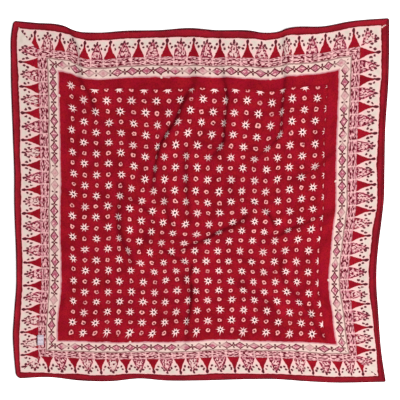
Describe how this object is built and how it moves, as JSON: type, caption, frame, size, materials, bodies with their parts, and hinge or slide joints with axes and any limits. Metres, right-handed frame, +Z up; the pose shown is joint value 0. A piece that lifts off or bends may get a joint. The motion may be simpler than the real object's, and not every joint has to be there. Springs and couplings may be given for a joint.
{
  "type": "batik bandana",
  "caption": "Square cotton bandana with a printed border and a field of small flowers and rings, lying loosely spread with soft creases.",
  "frame": {"origin": "middle of the cloth's footprint, on the surface it lies on", "axes": "+Z up from the surface, +X to the right and +Y to the top of the cloth as seen from above, with the label near the lower left corner"},
  "size_m": [0.5684, 0.5472, 0.0061],
  "materials": {
    "printed_cotton": "plain woven cotton, hand printed in red and cream",
    "label_tape": "blank woven tape"
  },
  "bodies": {
    "root": {"cloth": "printed_cotton", "blank_label": "label_tape"}
  },
  "joints": []
}
